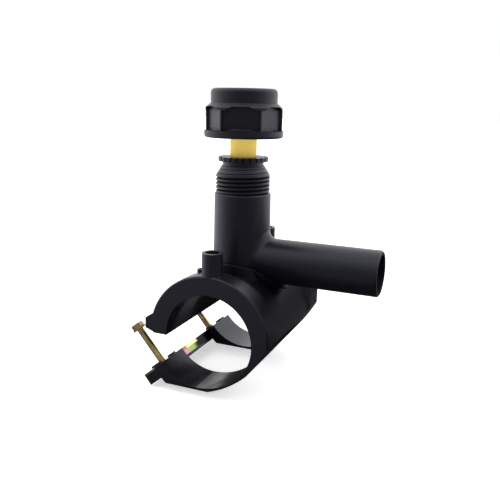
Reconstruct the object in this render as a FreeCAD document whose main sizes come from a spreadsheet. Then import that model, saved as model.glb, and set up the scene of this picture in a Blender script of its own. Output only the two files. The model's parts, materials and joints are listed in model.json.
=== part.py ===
"""Tapping saddle for plastic pipe: a clamp-on electrofusion saddle with a cutter stack and a side outlet.

Millimetres. The origin is on the pipe axis under the stack. X runs along the outlet, Y along the pipe,
Z up along the stack. Every size is a cell of the sheet below, and every outline is tied to it.
"""
import FreeCAD
import Part
import Sketcher
import math
import os

doc = FreeCAD.newDocument("tapping_saddle")
sheet = doc.addObject("Spreadsheet::Sheet", "Sizes")

SIZES = {
    # saddle half and its end rims
    "pipe_bore": 31.9,
    "saddle_length": 110.6,
    "rim_radius": 45,
    "rim_round": 0.9,
    "flank_reach": 43.2,
    "saddle_drop": 1,
    "waist_radius": 40.5,
    "waist_across": 2,
    "waist_down": 2,
    "waist_clear": 12,
    "rim_width": 21.3,
    "rim_slope": 1,
    # skirt and the strap that carries on from it, under the pipe
    "skirt_top": 1.5,
    "skirt_bend": 140,
    "knee_across": 28.5,
    "knee_down": 20.3,
    "belly_bend": 75,
    "belly_down": 37.5,
    "belly_across": 33,
    "throat_angle": 55,
    "throat_bend": 43,
    "heel_across": 9.2,
    "heel_down": 35.8,
    "tongue_bend": 34,
    "wedge_reach": 13.7,
    "band_width": 29.1,
    "window_angle": 50,
    "window_inner": 28,
    "window_outer": 50,
    "window_margin": 10,
    "window_back_across": 20,
    "window_back_down": 15,
    # clamp bar at the strap's free end, in its own tilted frame
    "clamp_across": 43.2,
    "clamp_down": 35,
    "clamp_tilt": 49.5,
    "core_width": 11,
    "core_depth": 7.6,
    "channel_wall": 1.2,
    "channel_inset": 1.3,
    "inner_flange_gap": 0.7,
    "inner_flange_depth": 6.5,
    "hook_reach": 2.3,
    "hook_root": 3.5,
    "hook_height": 1.5,
    "hook_width": 3.4,
    "hook_inner_inset": 24.1,
    "hook_outer_inset": 4,
    "hook_outer_width": 6.6,
    # lugs that take the bolt heads
    "lug_reach": 6.3,
    "lug_foot": 1.3,
    "lug_shoulder": 8.7,
    "lug_top": 13.1,
    "lug_inset": 1.3,
    "lug_width": 27,
    "lug_root": 0.5,
    "slot_width": 5.6,
    "slot_depth": 5.1,
    # stack
    "stack_foot_depth": 12,
    "stack_foot_radius": 21,
    "stack_top_radius": 20.2,
    "stack_edge": 0.7,
    "thread_root": 18.2,
    "thread_length": 10.8,
    "lead_in_radius": 17.2,
    "lead_in_depth": 2.2,
    "neck_radius": 14.55,
    "neck_cone_depth": 5,
    "neck_length": 4.5,
    "collar_radius": 17.7,
    "collar_depth": 3,
    "stack_height": 119.5,
    "stack_bore": 9.45,
    "notch_width": 1.1,
    "notch_floor": 15.4,
    "notch_turn": 8.6,
    # outlet
    "outlet_height": 46.24,
    "outlet_radius": 16,
    "outlet_bore": 13.1,
    "outlet_reach": 102.6,
    "outlet_edge": 1,
    "outlet_root_radius": 16.4,
    "outlet_root_bend": 6,
    "outlet_straight": 36,
    "outlet_throat": 9,
    "outlet_cone_start": 40,
    "outlet_cone_end": 48,
    # hub where the stack and outlet stand on the saddle
    "hub_radius": 25.2,
    "hub_outlet_radius": 19.3,
    "hub_reach": 40,
    "hub_foot_height": 50,
    "bead_width": 1.5,
    "bead_height": 0.7,
    # terminals and fusion indicators
    "terminal_inset": 7.1,
    "terminal_radius": 7.1,
    "terminal_bore": 4.85,
    "terminal_floor": 47,
    "terminal_height": 60,
    "pin_radius": 2,
    "pin_height": 58,
    "stem_radius": 1.2,
    "pin_bevel": 0.4,
    "indicator_across": 13,
    "indicator_inset": 15.3,
    "indicator_radius": 2.5,
    "indicator_foot_radius": 3.8,
    "indicator_foot_height": 41,
    "indicator_foot_depth": 5,
    "indicator_height": 45.2,
    "indicator_hole": 1.6,
    "indicator_pin": 1.5,
    "indicator_floor": 40.6,
    "indicator_pin_length": 4,
    # heating coil
    "coil_inner_radius": 13.5,
    "coil_pitch": 3.5,
    "wire_width": 1,
    "wire_depth": 0.7,
    "wire_cover": 0.05,
    # bolts, washers and nuts
    "bolt_inset": 16.8,
    "bolt_inward": 1.5,
    "bolt_radius": 2.4,
    "bolt_length": 40,
    "bolt_open": 29.5,
    "head_flats": 8,
    "head_height": 3.5,
    "bolt_point": 0.8,
    "bolt_bevel": 0.6,
    "head_overlap": 0.5,
    "washer_radius": 5.15,
    "washer_height": 1,
    "nut_height": 4,
    "bolt_clearance": 0.2,
    "nut_clearance": 0.1,
    # cutter
    "cutter_length": 49.6,
    "cutter_depth": 10.5,
    "punch_bore": 7,
    "punch_depth": 30,
    "punch_cone": 2,
    "cutter_bevel": 0.6,
    "socket_flats": 10,
    "socket_depth": 10,
    # cap
    "roof_gap": 0.3,
    "cap_flange_radius": 27.8,
    "cap_flange_height": 4.8,
    "cap_flange_round": 1.6,
    "cap_grip_radius": 26.8,
    "cap_grip_height": 15.5,
    "cap_cone_height": 3,
    "cap_drum_radius": 23.2,
    "cap_height": 33.2,
    "cap_round": 3,
    "cap_bore": 19.5,
    "cap_roof": 7.2,
    "facet_distance": 21.6,
    "ridge_half_angle": 1.3,
    "facet_ledge": 0.4,
    "facet_corner_start": 23,
    "facet_corner_end": 24.3,
    "facet_ramp_start": 22.4,
    "facet_ramp_end": 23.4,
    "facet_ramp_height": 1.6,
    "cap_turn": 48.2,
    "seal_radius": 16,
    "seal_thickness": 3,
    "seal_proud": 0.8,
    # gaps, and how far a cutting shape runs past what it cuts
    "fit_gap": 0.05,
    "past": 1,
}

GRIP_FACETS = 6
COIL_LOOPS = 5
COLLAR_NOTCHES = 24


class Size:
    """A number together with the expression that keeps it tied to the sheet."""

    def __init__(self, value, text):
        self.value = value
        self.text = text

    def __add__(self, other):
        other = as_size(other)
        return Size(self.value + other.value, f"({self.text} + {other.text})")

    def __sub__(self, other):
        other = as_size(other)
        return Size(self.value - other.value, f"({self.text} - {other.text})")

    def __mul__(self, other):
        other = as_size(other)
        return Size(self.value * other.value, f"({self.text} * {other.text})")

    def __truediv__(self, other):
        other = as_size(other)
        return Size(self.value / other.value, f"({self.text} / {other.text})")

    def __neg__(self):
        return Size(-self.value, f"(0 - {self.text})")

    def __radd__(self, other):
        return as_size(other) + self

    def __rsub__(self, other):
        return as_size(other) - self

    def __rmul__(self, other):
        return as_size(other) * self


def as_size(number):
    return number if isinstance(number, Size) else Size(float(number), repr(float(number)))


def cosine(angle):
    return Size(math.cos(math.radians(angle.value)), f"cos({angle.text})")


def sine(angle):
    return Size(math.sin(math.radians(angle.value)), f"sin({angle.text})")


def other_side(long_side, short_side):
    """The second short side of a right-angled triangle."""
    value = math.sqrt(long_side.value ** 2 - short_side.value ** 2)
    return Size(value, f"sqrt({long_side.text} ^ 2 - {short_side.text} ^ 2)")


class Sizes:
    """The sheet's cells by name."""


S = Sizes()
for row, (alias, value) in enumerate(SIZES.items(), start=1):
    sheet.set(f"A{row}", alias)
    sheet.set(f"B{row}", str(value))
    sheet.setAlias(f"B{row}", alias)
    setattr(S, alias, Size(float(value), f"Sizes.{alias}"))
doc.recompute()


def bind(thing, path, size):
    thing.setExpression(path, as_size(size).text)


class Bend:
    """An arc between two corners of an outline, turning left or right on the way."""

    def __init__(self, radius, left=True):
        self.radius = as_size(radius)
        self.left = left


def arc_between(start, end, bend):
    """The short arc of the bend's radius from start to end."""
    chord = end - start
    half = chord.Length / 2
    rise = math.sqrt(max(bend.radius.value ** 2 - half ** 2, 0))
    side = FreeCAD.Vector(-chord.y, chord.x, 0).normalize()
    centre = (start + end) / 2 + side * (rise if bend.left else -rise)
    first, last = (start, end) if bend.left else (end, start)
    angles = [math.atan2(p.y - centre.y, p.x - centre.x) for p in (first, last)]
    circle = Part.Circle(centre, FreeCAD.Vector(0, 0, 1), bend.radius.value)
    return Part.ArcOfCircle(circle, angles[0], angles[1])


def flat_sketch(body, name, role, shift=(0, 0, 0)):
    """An empty sketch on one of the body's own planes, moved by the shift in that plane's frame."""
    sketch = body.newObject("Sketcher::SketchObject", name)
    sketch.AttachmentSupport = [(datum(body, role), "")]
    sketch.MapMode = "FlatFace"
    for axis, distance in zip("xyz", shift):
        bind(sketch, f"AttachmentOffset.Base.{axis}", distance)
    return sketch


def pin_down(sketch, item, end, point):
    """Hold one end of an item at a point by its two sizes."""
    for kind, size in (("DistanceX", point[0]), ("DistanceY", point[1])):
        size = as_size(size)
        index = sketch.addConstraint(Sketcher.Constraint(kind, -1, 1, item, end, size.value))
        bind(sketch, f"Constraints[{index}]", size)


def outline(body, name, role, path, shift=(0, 0, 0)):
    """A closed outline: corners in order, with a Bend between two corners where the side is an arc."""
    sketch = flat_sketch(body, name, role, shift)
    corners = [step for step in path if not isinstance(step, Bend)]
    bends = {}
    for step in path:
        if isinstance(step, Bend):
            bends[placed - 1] = step
        else:
            placed = corners.index(step) + 1
    ends = []
    for number, corner in enumerate(corners):
        following = corners[(number + 1) % len(corners)]
        start = FreeCAD.Vector(as_size(corner[0]).value, as_size(corner[1]).value, 0)
        end = FreeCAD.Vector(as_size(following[0]).value, as_size(following[1]).value, 0)
        bend = bends.get(number)
        if bend is None:
            item = sketch.addGeometry(Part.LineSegment(start, end))
            ends.append((item, 1, 2))
        else:
            item = sketch.addGeometry(arc_between(start, end, bend))
            ends.append((item, 1, 2) if bend.left else (item, 2, 1))
    for number, corner in enumerate(corners):
        item, start, end = ends[number]
        before, _, before_end = ends[number - 1]
        sketch.addConstraint(Sketcher.Constraint("Coincident", before, before_end, item, start))
        pin_down(sketch, item, start, corner)
        if number in bends:
            radius = bends[number].radius
            index = sketch.addConstraint(Sketcher.Constraint("Radius", item, radius.value))
            bind(sketch, f"Constraints[{index}]", radius)
    return sketch


def circle(body, name, role, radius, shift=(0, 0, 0)):
    sketch = flat_sketch(body, name, role, shift)
    radius = as_size(radius)
    item = sketch.addGeometry(Part.Circle(FreeCAD.Vector(0, 0, 0), FreeCAD.Vector(0, 0, 1), radius.value))
    sketch.addConstraint(Sketcher.Constraint("Coincident", item, 3, -1, 1))
    index = sketch.addConstraint(Sketcher.Constraint("Radius", item, radius.value))
    bind(sketch, f"Constraints[{index}]", radius)
    return sketch


def hexagon(body, name, role, flats, shift=(0, 0, 0)):
    """A six-sided outline with two flats facing along the first axis."""
    half = flats / 2
    quarter = flats / math.sqrt(12)
    corners = [(half, -quarter), (half, quarter), (0, quarter * 2), (-half, quarter), (-half, -quarter)]
    return outline(body, name, role, corners + [(0, -quarter * 2)], shift)


def extrude(body, kind, name, sketch, length, side="One side", backwards=False):
    """A Pad or a Pocket of the sketch."""
    feature = body.newObject(f"PartDesign::{kind}", name)
    feature.Profile = sketch
    feature.SideType = side
    feature.Reversed = backwards
    bind(feature, "Length", length)
    return feature


def turn(body, kind, name, sketch, axis="V_Axis", angle=360, backwards=False):
    """A Revolution or a Groove of the sketch about one of its own axes."""
    feature = body.newObject(f"PartDesign::{kind}", name)
    feature.Profile = sketch
    feature.ReferenceAxis = (sketch, [axis])
    feature.Angle = angle
    feature.Reversed = backwards
    return feature


def datum(body, role):
    """One of a body's own planes or axes."""
    return [item for item in body.Origin.OriginFeatures if item.Role == role][0]


def mirror(body, name, originals, role="XZ_Plane"):
    feature = body.newObject("PartDesign::Mirrored", name)
    feature.Originals = originals
    feature.MirrorPlane = (datum(body, role), [""])
    body.Tip = feature
    return feature


def repeat_round(body, name, original, count):
    """Equal copies of a feature round the body's own Z."""
    feature = body.newObject("PartDesign::PolarPattern", name)
    feature.Originals = [original]
    feature.Axis = (datum(body, "Z_Axis"), [""])
    feature.Angle = 360
    feature.Occurrences = count
    body.Tip = feature
    return feature


TURNS = {
    "x": (FreeCAD.Vector(0, 1, 0), 90),
    "y": (FreeCAD.Vector(1, 0, 0), -90),
    "z": (FreeCAD.Vector(0, 0, 1), 0),
}


def place(thing, at, axis="z"):
    """Put a thing at a point with its own z along an axis of the part, or along the bolts."""
    if axis == "bolt":
        angle = S.clamp_tilt - 90
        thing.Placement = FreeCAD.Placement(
            FreeCAD.Vector(0, 0, 0), FreeCAD.Rotation(FreeCAD.Vector(0, 1, 0), angle.value))
        bind(thing, "Placement.Rotation.Angle", angle)
    else:
        thing.Placement = FreeCAD.Placement(FreeCAD.Vector(0, 0, 0), FreeCAD.Rotation(*TURNS[axis]))
    for name, distance in zip("xyz", at):
        bind(thing, f"Placement.Base.{name}", distance)
    return thing


def bar(name, radius, length, at, axis="z"):
    """A round bar from a point along an axis."""
    thing = doc.addObject("Part::Cylinder", name)
    bind(thing, "Radius", radius)
    bind(thing, "Height", length)
    return place(thing, at, axis)


def taper(name, start_radius, end_radius, length, at, axis="z"):
    thing = doc.addObject("Part::Cone", name)
    bind(thing, "Radius1", start_radius)
    bind(thing, "Radius2", end_radius)
    bind(thing, "Height", length)
    return place(thing, at, axis)


def block(name, sides, at):
    """A box with its middle at a point."""
    thing = doc.addObject("Part::Box", name)
    for path, side in zip(("Length", "Width", "Height"), sides):
        bind(thing, path, side)
    corner = [as_size(middle) - as_size(side) / 2 for middle, side in zip(at, sides)]
    return place(thing, corner)


def join(name, things):
    thing = doc.addObject("Part::MultiFuse", name)
    thing.Shapes = things
    return thing


def cut(name, base, tool):
    thing = doc.addObject("Part::Cut", name)
    thing.Base = base
    thing.Tool = tool
    return thing


def common(name, first, second):
    thing = doc.addObject("Part::Common", name)
    thing.Base = first
    thing.Tool = second
    return thing


def new_body(name):
    return doc.addObject("PartDesign::Body", name)


def clamp_point(outward, upward):
    """A point of the clamp bar's tilted frame, as x and z of the part."""
    outward, upward = as_size(outward), as_size(upward)
    lean, rise = cosine(S.clamp_tilt), sine(S.clamp_tilt)
    across = -S.clamp_across - outward * rise - upward * lean
    height = -S.clamp_down - outward * lean + upward * rise
    return across, height


ENDS = {"front": -1, "rear": 1}
core_half = S.core_width / 2
core_top = S.core_depth / 2
web_top = core_top + S.channel_wall
saddle_half = S.saddle_length / 2
window_length = S.saddle_length - S.band_width * 2
terminal_along = saddle_half - S.terminal_inset
indicator_along = saddle_half - S.indicator_inset
bolt_along = saddle_half - S.bolt_inset
collar_height = S.stack_height - S.collar_depth
neck_start = collar_height - S.neck_length
lead_in_height = neck_start - S.neck_cone_depth
thread_height = lead_in_height - S.lead_in_depth
stack_shoulder = thread_height - S.thread_length
cutter_base = S.stack_height - S.cutter_depth
cap_base = cutter_base + S.cutter_length + S.roof_gap - S.cap_height + S.cap_roof


def saddle_shell():
    """Saddle half, skirt, strap and clamp bar: one moulding, cut from one end view."""
    body = new_body("saddle_shell")
    bore_end = other_side(S.pipe_bore, S.saddle_drop)
    flank_height = other_side(S.rim_radius, S.flank_reach)
    tip = clamp_point(-S.wedge_reach, web_top)
    throat = (S.pipe_bore * cosine(S.throat_angle), -S.pipe_bore * sine(S.throat_angle))
    end_view = [
        (-bore_end, -S.saddle_drop),
        (-S.flank_reach, -S.saddle_drop),
        (-S.flank_reach, flank_height), Bend(S.rim_radius, left=False),
        (0, S.rim_radius), Bend(S.rim_radius, left=False),
        (S.flank_reach, flank_height),
        (S.flank_reach, S.skirt_top), Bend(S.skirt_bend, left=False),
        (S.knee_across, -S.knee_down), Bend(S.belly_bend, left=False),
        (0, -S.belly_down),
        (-S.belly_across, -S.belly_down),
        clamp_point(-core_half, -core_top),
        clamp_point(core_half, -core_top),
        clamp_point(core_half, core_top),
        clamp_point(-core_half, core_top),
        clamp_point(-core_half, web_top),
        tip, Bend(S.tongue_bend),
        (-S.heel_across, -S.heel_down), Bend(S.throat_bend),
        throat, Bend(S.pipe_bore),
        (0, S.pipe_bore), Bend(S.pipe_bore),
    ]
    ring = extrude(body, "Pad", "ring", outline(body, "end_view", "XZ_Plane", end_view),
                   S.saddle_length, "Symmetric")
    doc.recompute()

    rounded = body.newObject("PartDesign::Chamfer", "rim_bevels")
    rounded.Base = (ring, outer_end_edges(ring.Shape))
    bind(rounded, "Size", S.rim_round)

    # the waist between the rims is turned off centre, so that it runs out into the skirt
    waist_half = saddle_half - S.rim_width
    waist_mouth = waist_half + S.rim_slope * S.waist_clear
    waist = [
        (S.waist_radius, -waist_half),
        (S.waist_radius + S.waist_clear, -waist_mouth),
        (S.waist_radius + S.waist_clear, waist_mouth),
        (S.waist_radius, waist_half),
    ]
    waist_sketch = outline(body, "waist", "XY_Plane", waist, (S.waist_across, 0, -S.waist_down))
    turn(body, "Groove", "waist_groove", waist_sketch, "V_Axis", 180, backwards=True)

    lean, rise = cosine(S.window_angle), sine(S.window_angle)
    window = [
        clamp_point(-core_half, S.window_margin),
        clamp_point(-core_half, -S.window_margin),
        (0, -S.belly_down - S.window_margin),
        (S.window_outer * lean, -S.window_outer * rise),
        (S.window_inner * lean, -S.window_inner * rise),
        (-S.window_back_across, -S.window_back_down),
    ]
    window_sketch = outline(body, "window", "XZ_Plane", window)
    extrude(body, "Pocket", "strap_window", window_sketch, window_length, "Symmetric")

    reach = -S.flank_reach - S.lug_reach
    root = -S.waist_radius + S.waist_across + S.lug_root
    lug = [
        (root, -S.saddle_drop),
        (-S.flank_reach, -S.saddle_drop),
        (reach, S.lug_foot),
        (reach, S.lug_shoulder),
        (-S.flank_reach, S.lug_top),
        (root, S.lug_top),
    ]
    lug_start = saddle_half - S.lug_inset - S.lug_width
    lug_sketch = outline(body, "lug", "XZ_Plane", lug, (0, 0, lug_start))
    front_lug = extrude(body, "Pad", "front_lug", lug_sketch, S.lug_width)

    slot_half = S.slot_width / 2
    slot_end = reach + S.slot_depth
    slot = [
        (reach - S.past, -bolt_along - slot_half),
        (slot_end, -bolt_along - slot_half), Bend(slot_half),
        (slot_end + slot_half, -bolt_along), Bend(slot_half),
        (slot_end, -bolt_along + slot_half),
        (reach - S.past, -bolt_along + slot_half),
    ]
    slot_sketch = outline(body, "slot", "XY_Plane", slot)
    front_slot = extrude(body, "Pocket", "front_slot", slot_sketch, (S.lug_top + S.past) * 2, "Symmetric")

    hooks = []
    for name, inset, width in (("inner", S.hook_inner_inset, S.hook_width),
                               ("outer", S.hook_outer_inset, S.hook_outer_width)):
        low = web_top - S.channel_wall / 2
        under = web_top + S.fit_gap
        high = web_top + S.hook_height
        hook = [
            clamp_point(-core_half - S.hook_root, low),
            clamp_point(-core_half - S.fit_gap, low),
            clamp_point(-core_half - S.fit_gap, under),
            clamp_point(-core_half + S.hook_reach, under),
            clamp_point(-core_half + S.hook_reach, high),
            clamp_point(-core_half - S.hook_root, high),
        ]
        start = saddle_half - inset - width / 2
        hook_sketch = outline(body, f"{name}_hook", "XZ_Plane", hook, (0, 0, start))
        hooks.append(extrude(body, "Pad", f"front_{name}_hook", hook_sketch, width))
    mirror(body, "rear_details", [front_lug, front_slot] + hooks)
    return body


def outer_end_edges(shape):
    """Names of the two end faces' outer edges along the rims and the skirt."""
    names = []
    for number, edge in enumerate(shape.Edges, start=1):
        box = edge.BoundBox
        at_end = box.YLength < 1e-6 and abs(abs(box.YMax) - saddle_half.value) < 1e-6
        middle = edge.valueAt((edge.FirstParameter + edge.LastParameter) / 2)
        outside = math.hypot(middle.x, middle.z) > (S.pipe_bore.value + S.rim_radius.value) / 2
        on_rim = outside and middle.z > 0 and (box.ZLength > 1e-6)
        if at_end and on_rim:
            names.append(f"Edge{number}")
    return names


def stack_and_outlet():
    """The upright stack for the cutter and the outlet on its side, solid for now."""
    body = new_body("stack_and_outlet")
    foot = S.pipe_bore - S.stack_foot_depth
    stack = [
        (0, foot),
        (S.stack_foot_radius, foot),
        (S.stack_top_radius, stack_shoulder - S.stack_edge),
        (S.stack_top_radius - S.stack_edge, stack_shoulder),
        (S.thread_root, stack_shoulder),
        (S.thread_root, thread_height),
        (S.lead_in_radius, lead_in_height),
        (S.neck_radius, neck_start),
        (S.neck_radius, collar_height),
        (S.collar_radius, collar_height),
        (S.collar_radius, S.stack_height),
        (0, S.stack_height),
    ]
    turn(body, "Revolution", "stack", outline(body, "stack_side", "XZ_Plane", stack))
    outlet = [
        (0, 0),
        (0, S.outlet_root_radius),
        (S.outlet_straight, S.outlet_radius),
        (S.outlet_reach - S.outlet_edge, S.outlet_radius),
        (S.outlet_reach, S.outlet_radius - S.outlet_edge),
        (S.outlet_reach, 0),
    ]
    side = outline(body, "outlet_side", "XZ_Plane", outlet, (0, S.outlet_height, 0))
    joined = turn(body, "Revolution", "outlet", side, "H_Axis")
    doc.recompute()

    blended = body.newObject("PartDesign::Fillet", "outlet_root")
    blended.Base = (joined, outlet_root_edges(joined.Shape))
    bind(blended, "Radius", S.outlet_root_bend)

    notch_half = S.notch_width / 2
    notch = [
        (S.notch_floor, -notch_half),
        (S.collar_radius + S.past, -notch_half),
        (S.collar_radius + S.past, notch_half),
        (S.notch_floor, notch_half),
    ]
    notch_sketch = outline(body, "notch", "XY_Plane", notch, (0, 0, S.stack_height))
    turned = FreeCAD.Rotation(FreeCAD.Vector(0, 0, 1), S.notch_turn.value)
    notch_sketch.AttachmentOffset = FreeCAD.Placement(FreeCAD.Vector(0, 0, S.stack_height.value), turned)
    bind(notch_sketch, "AttachmentOffset.Rotation.Angle", S.notch_turn)
    first = extrude(body, "Pocket", "first_notch", notch_sketch, S.stack_height - collar_height)
    repeat_round(body, "notches", first, COLLAR_NOTCHES)
    return body


def outlet_root_edges(shape):
    """Names of the edges where the outlet's tube meets the stack."""
    names = []
    for number, edge in enumerate(shape.Edges, start=1):
        middle = edge.valueAt((edge.FirstParameter + edge.LastParameter) / 2)
        from_outlet = math.hypot(middle.y, middle.z - S.outlet_height.value)
        from_stack = math.hypot(middle.x, middle.y)
        on_tube = S.outlet_radius.value < from_outlet < S.outlet_root_radius.value
        on_stack = S.stack_top_radius.value < from_stack < S.stack_foot_radius.value
        if on_tube and on_stack and edge.Curve.TypeId != "Part::GeomLine":
            names.append(f"Edge{number}")
    return names


def hub():
    """The raised ground round the stack and outlet, level with the rims, with a bead along its edge."""
    def footprint(name, inset):
        upright = bar(f"{name}_upright", S.hub_radius - inset, S.hub_foot_height, (0, 0, 0))
        level = bar(f"{name}_level", S.hub_outlet_radius - inset, S.hub_reach, (0, 0, S.outlet_height), "x")
        return join(name, [upright, level])

    length = (S.hub_radius + S.past) * 2
    ground = common("hub_ground", footprint("hub_area", as_size(0)),
                    bar("hub_level", S.rim_radius, length, (0, -length / 2, 0), "y"))
    edge = cut("bead_area", footprint("bead_outside", as_size(0)), footprint("bead_inside", S.bead_width))
    bead = common("hub_bead", edge,
                  bar("bead_level", S.rim_radius + S.bead_height, length, (0, -length / 2, 0), "y"))
    return [ground, bead]


def coil_pattern(name, gap):
    """Loops round the stack's foot with a lead along the crest to each terminal, as seen from above."""
    half = S.wire_width / 2 + gap
    height = coil_top + S.past
    parts = []
    for number in range(COIL_LOOPS):
        middle = S.coil_inner_radius + S.coil_pitch * number
        outside = bar(f"{name}_outside_{number}", middle + half, height, (0, 0, 0))
        inside = bar(f"{name}_inside_{number}", middle - half, height, (0, 0, 0))
        parts.append(cut(f"{name}_loop_{number}", outside, inside))
    lead = terminal_along + half - S.coil_inner_radius
    for end, way in ENDS.items():
        middle = way * (S.coil_inner_radius + lead / 2)
        parts.append(block(f"{name}_lead_{end}", (half * 2, lead, height), (0, middle, height / 2)))
    return join(f"{name}_pattern", parts)


def skin(name, inner, outer):
    """A thin layer round the pipe bore."""
    length = S.saddle_length
    return cut(name, bar(f"{name}_outer", outer, length, (0, -length / 2, 0), "y"),
               bar(f"{name}_inner", inner, length, (0, -length / 2, 0), "y"))


coil_top = S.pipe_bore + S.wire_cover + S.wire_depth


def along_bolt(upward, end):
    """A point on a bolt's line, by its distance from the middle of the clamp bar."""
    across, height = clamp_point(-S.bolt_inward, upward)
    return across, ENDS[end] * bolt_along, height


def saddle_body():
    """The whole moulding: shell, stack, outlet, hub, terminals and bosses, less its bores and pockets."""
    solids = [saddle_shell(), stack_and_outlet()] + hub()
    hollows = [
        bar("pipe_way", S.pipe_bore, (saddle_half + S.past) * 2, (0, -saddle_half - S.past, 0), "y"),
        bar("stack_way", S.stack_bore, S.stack_height + S.past, (0, 0, 0)),
        bar("outlet_way", S.outlet_bore, S.outlet_reach + S.past - S.outlet_cone_end,
            (S.outlet_cone_end, 0, S.outlet_height), "x"),
        taper("outlet_narrowing", S.outlet_throat, S.outlet_bore, S.outlet_cone_end - S.outlet_cone_start,
              (S.outlet_cone_start, 0, S.outlet_height), "x"),
        bar("outlet_throat_way", S.outlet_throat, S.outlet_cone_start, (0, 0, S.outlet_height), "x"),
    ]
    root = (S.pipe_bore + S.rim_radius) / 2
    for end, way in ENDS.items():
        along = way * terminal_along
        solids.append(bar(f"terminal_{end}", S.terminal_radius, S.terminal_height - root, (0, along, root)))
        hollows.append(bar(f"terminal_bore_{end}", S.terminal_bore,
                           S.terminal_height + S.past - S.terminal_floor, (0, along, S.terminal_floor)))
        hollows.append(bar(f"stem_way_{end}", S.stem_radius + S.fit_gap,
                           S.terminal_floor + S.past - coil_top, (0, along, coil_top)))
        spot = (-S.indicator_across, way * indicator_along)
        foot = S.indicator_foot_height
        solids.append(taper(f"indicator_foot_{end}", S.indicator_foot_radius, S.indicator_radius,
                            S.indicator_foot_depth, (*spot, foot - S.indicator_foot_depth)))
        solids.append(bar(f"indicator_{end}", S.indicator_radius, S.indicator_height - foot, (*spot, foot)))
        hollows.append(bar(f"indicator_way_{end}", S.indicator_hole,
                           S.indicator_height + S.past - S.indicator_floor, (*spot, S.indicator_floor)))
        below = along_bolt(-core_top - S.past, end)
        hollows.append(bar(f"bolt_way_{end}", S.bolt_radius + S.bolt_clearance, S.core_depth + S.past * 2,
                           below, "bolt"))
        hollows.append(hexagon_bar(f"nut_pocket_{end}", S.head_flats + S.nut_clearance * 2,
                                   S.nut_height + S.past, below))
    groove_skin = skin("groove_skin", S.pipe_bore - S.past, coil_top + S.fit_gap)
    hollows.append(common("coil_groove", coil_pattern("groove", S.fit_gap), groove_skin))
    whole = cut("saddle", join("saddle_solids", solids), join("saddle_hollows", hollows))
    whole.Label = "saddle_body"
    return whole


def hexagon_bar(name, flats, length, at):
    """A six-sided bar along a bolt, with flats facing across the clamp bar."""
    body = new_body(name)
    sketch = hexagon(body, f"{name}_flats", "XY_Plane", flats)
    extrude(body, "Pad", f"{name}_bar", sketch, length)
    return place(body, at, "bolt")


def fusion_coil():
    """Heating wire, bedded just under the surface of the bore."""
    layer = skin("coil_skin", S.pipe_bore + S.wire_cover, coil_top)
    coil = common("coil", coil_pattern("coil", as_size(0)), layer)
    coil.Label = "fusion_coil"
    return coil


def terminal_pin(end):
    """Brass contact pin with a stem down to the coil's lead."""
    body = new_body(f"terminal_pin_{end}")
    side = [
        (0, coil_top),
        (S.stem_radius, coil_top),
        (S.stem_radius, S.terminal_floor),
        (S.pin_radius, S.terminal_floor),
        (S.pin_radius, S.pin_height - S.pin_bevel),
        (S.pin_radius - S.pin_bevel, S.pin_height),
        (0, S.pin_height),
    ]
    turn(body, "Revolution", f"turned_pin_{end}", outline(body, f"pin_side_{end}", "XZ_Plane", side))
    return place(body, (0, ENDS[end] * terminal_along, 0))


def indicator_pin(end):
    """Small pin that the melt lifts when the joint is made."""
    body = new_body(f"indicator_pin_{end}")
    extrude(body, "Pad", f"indicator_bar_{end}",
            circle(body, f"indicator_round_{end}", "XY_Plane", S.indicator_pin), S.indicator_pin_length)
    return place(body, (-S.indicator_across, ENDS[end] * indicator_along, S.indicator_floor + S.fit_gap))


def clamp_channel():
    """Folded steel channel over the clamp bar, with a second flange inside the strap's window."""
    body = new_body("clamp_channel")
    wall = S.channel_wall
    gap = S.fit_gap
    outer = [
        (core_half - gap, core_top),
        (core_half - gap, web_top),
        (-core_half - wall, web_top),
        (-core_half - wall, -core_top),
        (-core_half, -core_top),
        (-core_half, core_top),
    ]
    folded = outline(body, "channel_end", "XZ_Plane", outer)
    extrude(body, "Pad", "channel_fold", folded, (saddle_half - S.channel_inset) * 2, "Symmetric")
    inner = [
        (core_half - gap * 2, web_top),
        (core_half - gap * 2, core_top),
        (core_half + gap, core_top),
        (core_half + gap, web_top - S.inner_flange_depth),
        (core_half + wall, web_top - S.inner_flange_depth),
        (core_half + wall, web_top),
    ]
    inner_sketch = outline(body, "inner_flange_end", "XZ_Plane", inner)
    extrude(body, "Pad", "inner_flange", inner_sketch, window_length - S.inner_flange_gap * 2, "Symmetric")
    for end, way in ENDS.items():
        hole = circle(body, f"bolt_hole_{end}", "XY_Plane", S.bolt_radius + S.bolt_clearance,
                      (S.bolt_inward, way * bolt_along, 0))
        extrude(body, "Pocket", f"bolt_hole_cut_{end}", hole, (web_top + S.past) * 2, "Symmetric")
    across, height = clamp_point(0, 0)
    return place(body, (across, 0, height), "bolt")


def bolt(end):
    """Hexagon bolt, made upright with its head's seat at zero."""
    body = new_body(f"bolt_{end}")
    side = [
        (0, -S.bolt_length),
        (S.bolt_radius - S.bolt_bevel, -S.bolt_length),
        (S.bolt_radius, -S.bolt_length + S.bolt_point),
        (S.bolt_radius, S.head_overlap),
        (0, S.head_overlap),
    ]
    turn(body, "Revolution", f"shank_{end}", outline(body, f"shank_side_{end}", "XZ_Plane", side))
    head = hexagon(body, f"head_flats_{end}", "XY_Plane", S.head_flats)
    extrude(body, "Pad", f"head_{end}", head, S.head_height)
    return place(body, along_bolt(web_top + S.bolt_open + S.washer_height, end), "bolt")


def washer(end):
    body = new_body(f"washer_{end}")
    extrude(body, "Pad", f"disc_{end}",
            circle(body, f"disc_round_{end}", "XY_Plane", S.washer_radius), S.washer_height)
    extrude(body, "Pocket", f"disc_hole_{end}",
            circle(body, f"disc_bore_{end}", "XY_Plane", S.bolt_radius + S.bolt_clearance / 2),
            (S.washer_height + S.past) * 2, "Symmetric")
    return place(body, along_bolt(web_top + S.bolt_open, end), "bolt")


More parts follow.
